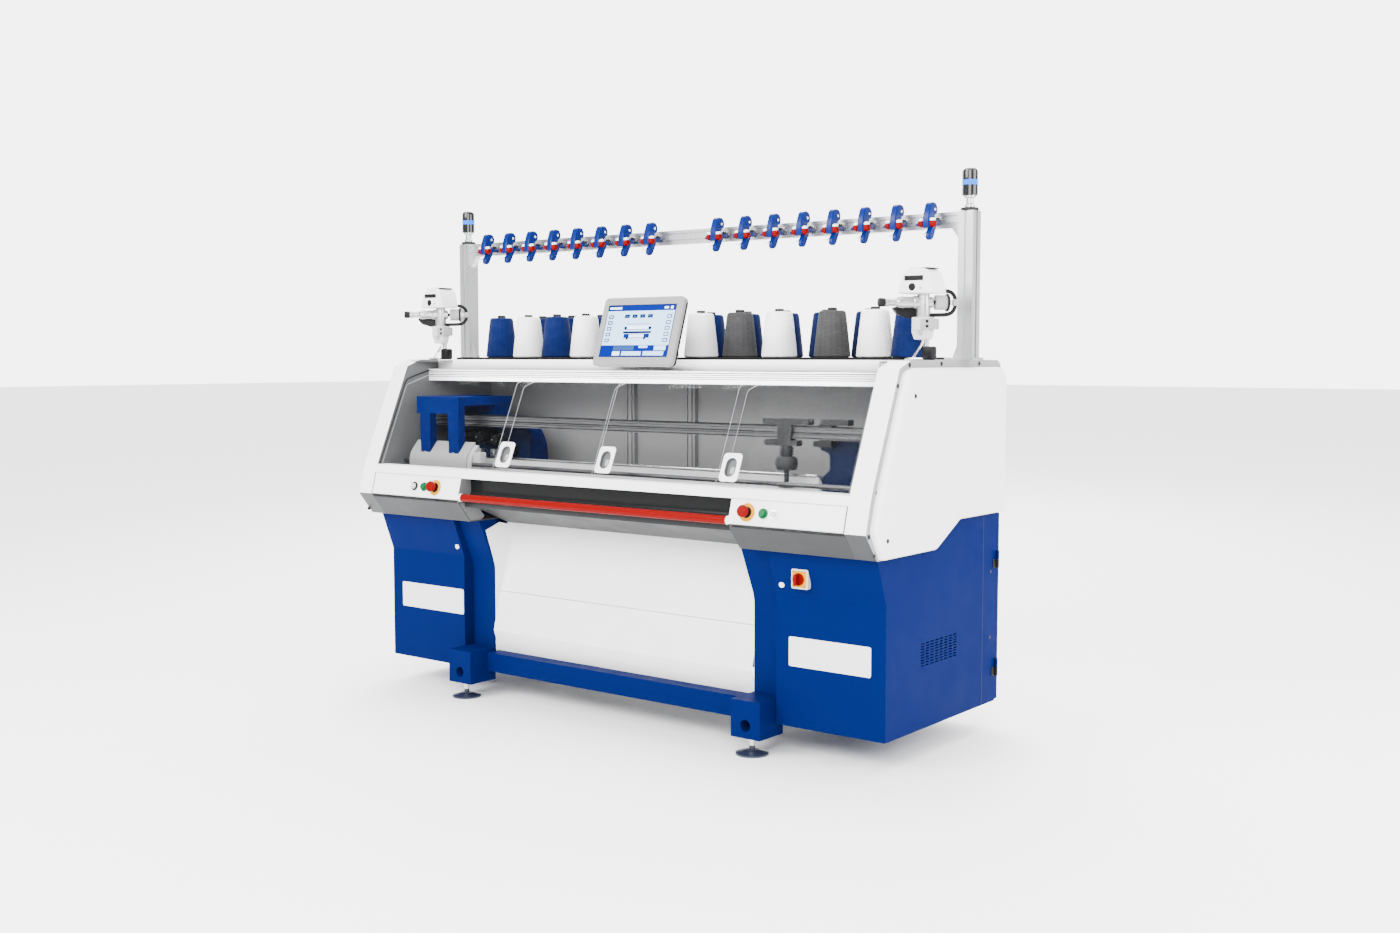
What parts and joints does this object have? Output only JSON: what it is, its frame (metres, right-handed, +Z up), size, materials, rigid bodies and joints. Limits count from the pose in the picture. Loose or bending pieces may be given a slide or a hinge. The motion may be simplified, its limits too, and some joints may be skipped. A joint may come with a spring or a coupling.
{
  "type": "flat knitting machine",
  "caption": "Computer-controlled flat knitting machine with sloping sliding windows, two cabinets on a welded base, a front start bar, a cone shelf, a yarn-brake rail and a tilting screen",
  "frame": {"origin": "middle of the overall box, on the floor under the levelling feet", "axes": "+X to the machine's right seen from the front, +Y from the operator's side to the back, +Z up"},
  "size_m": [2.4552, 0.9486, 1.914],
  "materials": {
    "off_white_paint": "powder-coated, satin",
    "royal_blue_paint": "powder-coated, fine texture",
    "grey_paint": "powder-coated, satin",
    "dark_trough": "satin",
    "anodised": "anodised, fine drawn lines",
    "steel_ground": "ground",
    "steel_bright": "polished",
    "smoked_pane": "clear, slightly tinted",
    "black_plastic": "moulded",
    "charcoal_plastic": "moulded",
    "blue_plastic": "moulded",
    "red_plastic": "moulded",
    "green_plastic": "moulded",
    "white_plastic": "moulded",
    "black_rubber": "ribbed mat",
    "yarn": "wound yarn",
    "roller_rubber": "matt"
  },
  "bodies": {
    "machine": {"base_frame": "royal_blue_paint", "levelling_feet": "steel_ground", "cabinet_right": "off_white_paint", "cabinet_left": "off_white_paint", "door_hinges": "black_plastic", "chute_panels": "off_white_paint", "end_frame_right": "off_white_paint", "end_frame_left": "off_white_paint", "side_cover_right": "off_white_paint", "side_cover_left": "off_white_paint", "front_ledge": "off_white_paint", "control_panel_left": "off_white_paint", "control_panel_right": "off_white_paint", "belly_panel": "grey_paint", "recess_panel": "dark_trough", "window_fixed": "smoked_pane", "top_shelf": "off_white_paint", "shelf_mat": "black_rubber", "shelf_rail": "off_white_paint", "inner_wall": "grey_paint", "rear_cover": "off_white_paint", "needle_bed_front": "steel_ground", "needle_bed_rear": "steel_ground", "carriage_guides": "steel_bright", "feeder_rails": "anodised", "end_casting": "royal_blue_paint", "drive_belt": "black_rubber", "creel_frame": "anodised", "yarn_brakes": "blue_plastic", "brake_knobs": "red_plastic", "signal_lamps": "white_plastic", "screen_arm": "black_plastic", "feed_unit_bodies": "white_plastic", "yarn_cones": "yarn", "switch_bezels": "white_plastic"},
    "carriage": {"carriage_cover": "off_white_paint", "carriage_bow": "royal_blue_paint"},
    "carrier_1": {"yarn_carrier_1": "charcoal_plastic"},
    "carrier_2": {"yarn_carrier_2": "charcoal_plastic"},
    "sliding_window_2": {"window_2": "smoked_pane", "window_handle_2": "black_plastic"},
    "sliding_window_3": {"window_3": "smoked_pane", "window_handle_3": "black_plastic"},
    "sliding_window_4": {"window_4": "smoked_pane", "window_handle_4": "black_plastic"},
    "bar": {"start_bar": "red_plastic"},
    "green_left": {"green_button_left": "green_plastic"},
    "green_right": {"green_button_right": "green_plastic"},
    "stop_left": {"estop_left": "red_plastic"},
    "stop_right": {"estop_right": "red_plastic"},
    "switch": {"main_switch_knob": "red_plastic"},
    "door_right": {"rear_door_right": "off_white_paint"},
    "door_left": {"rear_door_left": "off_white_paint"},
    "screen": {"touch_screen": "black_plastic"},
    "spool_left": {"feed_spool_left": "black_plastic"},
    "spool_right": {"feed_spool_right": "black_plastic"},
    "roller_back": {"takedown_roller": "roller_rubber"},
    "roller_front": {"press_roller": "roller_rubber"},
    "pulley_left": {"drive_pulley_left": "steel_ground"},
    "pulley_right": {"drive_pulley_right": "steel_ground"}
  },
  "joints": [
    {"name": "carriage_slide", "type": "slide", "parent": "machine", "child": "carriage", "axis": [1, 0, 0], "range_m": [0, 1.37]},
    {"name": "carrier_1_slide", "type": "slide", "parent": "machine", "child": "carrier_1", "axis": [1, 0, 0], "range_m": [-1.3, 0.02]},
    {"name": "carrier_2_slide", "type": "slide", "parent": "machine", "child": "carrier_2", "axis": [1, 0, 0], "range_m": [-1.4, 0.06]},
    {"name": "window_2_slide", "type": "slide", "parent": "machine", "child": "sliding_window_2", "axis": [1, 0, 0], "range_m": [-0.6, 0]},
    {"name": "window_3_slide", "type": "slide", "parent": "machine", "child": "sliding_window_3", "axis": [1, 0, 0], "range_m": [0, 0.47]},
    {"name": "window_4_slide", "type": "slide", "parent": "machine", "child": "sliding_window_4", "axis": [1, 0, 0], "range_m": [-0.5, 0]},
    {"name": "start_bar_turn", "type": "hinge", "parent": "machine", "child": "bar", "pos_m": [0.03657, -0.43165, 0.777], "axis": [1, 0, 0], "range_deg": [-25, 25]},
    {"name": "green_left_press", "type": "slide", "parent": "machine", "child": "green_left", "axis": [0, 0.9654, -0.2609], "range_m": [0, 0.004], "stiffness_N_per_m": 300},
    {"name": "green_right_press", "type": "slide", "parent": "machine", "child": "green_right", "axis": [0, 0.9654, -0.2609], "range_m": [0, 0.004], "stiffness_N_per_m": 300},
    {"name": "stop_left_press", "type": "slide", "parent": "machine", "child": "stop_left", "axis": [0, 0.9654, -0.2609], "range_m": [0, 0.005]},
    {"name": "stop_right_press", "type": "slide", "parent": "machine", "child": "stop_right", "axis": [0, 0.9654, -0.2609], "range_m": [0, 0.005]},
    {"name": "main_switch_turn", "type": "hinge", "parent": "machine", "child": "switch", "pos_m": [0.86257, -0.3298, 0.593], "axis": [0, 1, 0], "range_deg": [0, 90]},
    {"name": "rear_door_right_hinge", "type": "hinge", "parent": "machine", "child": "door_right", "pos_m": [1.16907, 0.44835, 0.43], "axis": [0, 0, 1], "range_deg": [-110, 0]},
    {"name": "rear_door_left_hinge", "type": "hinge", "parent": "machine", "child": "door_left", "pos_m": [-1.14393, 0.44835, 0.43], "axis": [0, 0, 1], "range_deg": [0, 110]},
    {"name": "screen_tilt", "type": "hinge", "parent": "machine", "child": "screen", "pos_m": [0.05557, -0.11756, 1.37595], "axis": [1, 0, 0], "range_deg": [-12, 15]},
    {"name": "spool_left_turn", "type": "hinge", "parent": "machine", "child": "spool_left", "pos_m": [-1.11443, -0.04365, 1.474], "axis": [-0.7071, -0.7071, 0], "continuous": true},
    {"name": "spool_right_turn", "type": "hinge", "parent": "machine", "child": "spool_right", "pos_m": [1.13957, -0.04365, 1.474], "axis": [-0.7071, -0.7071, 0], "continuous": true},
    {"name": "takedown_turn", "type": "hinge", "parent": "machine", "child": "roller_back", "pos_m": [0.01257, -0.10765, 0.752], "axis": [1, 0, 0], "continuous": true},
    {"name": "press_roller_turn", "type": "hinge", "parent": "machine", "child": "roller_front", "pos_m": [0.01257, -0.15265, 0.752], "axis": [1, 0, 0], "continuous": true},
    {"name": "pulley_left_turn", "type": "hinge", "parent": "machine", "child": "pulley_left", "pos_m": [-1.02743, 0.14235, 0.83], "axis": [0, 1, 0], "range_deg": [0, 2243.7]},
    {"name": "pulley_right_turn", "type": "hinge", "parent": "machine", "child": "pulley_right", "pos_m": [1.05257, 0.14235, 0.83], "axis": [0, 1, 0], "range_deg": [0, 2243.7]}
  ],
  "couplings": [
    {"joint": "press_roller_turn", "follows": "takedown_turn", "ratio": -1},
    {"joint": "pulley_left_turn", "follows": "carriage_slide", "rad_per_m": 28.571},
    {"joint": "pulley_right_turn", "follows": "carriage_slide", "rad_per_m": 28.571}
  ]
}
